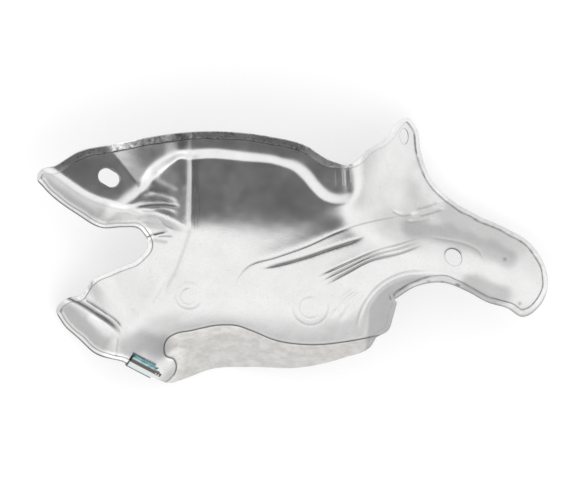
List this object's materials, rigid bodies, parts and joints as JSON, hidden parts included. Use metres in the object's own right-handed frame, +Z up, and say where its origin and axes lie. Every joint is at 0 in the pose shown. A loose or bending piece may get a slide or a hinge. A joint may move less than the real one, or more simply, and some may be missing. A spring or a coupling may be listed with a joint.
{
  "type": "exhaust heat shield",
  "caption": "Stamped aluminium heat shield for an exhaust manifold: a domed, hemmed sheet with a slotted nose, bolt tab, wing and turned-down skirt, and a spring clip on its edge.",
  "frame": {"origin": "centre of the bounding box, on the ground that the sheet's edge rests on", "axes": "+X along the sheet's length towards the wing, +Y across it towards the bolt tab, +Z up, out of the domed face"},
  "size_m": [0.3502, 0.1828, 0.0678],
  "materials": {
    "heat_shield": "satin mill finish, slightly mottled",
    "edge_clip": "zinc plated, faint blue tint"
  },
  "bodies": {
    "root": {"heat_shield": "heat_shield", "edge_clip": "edge_clip"}
  },
  "joints": []
}
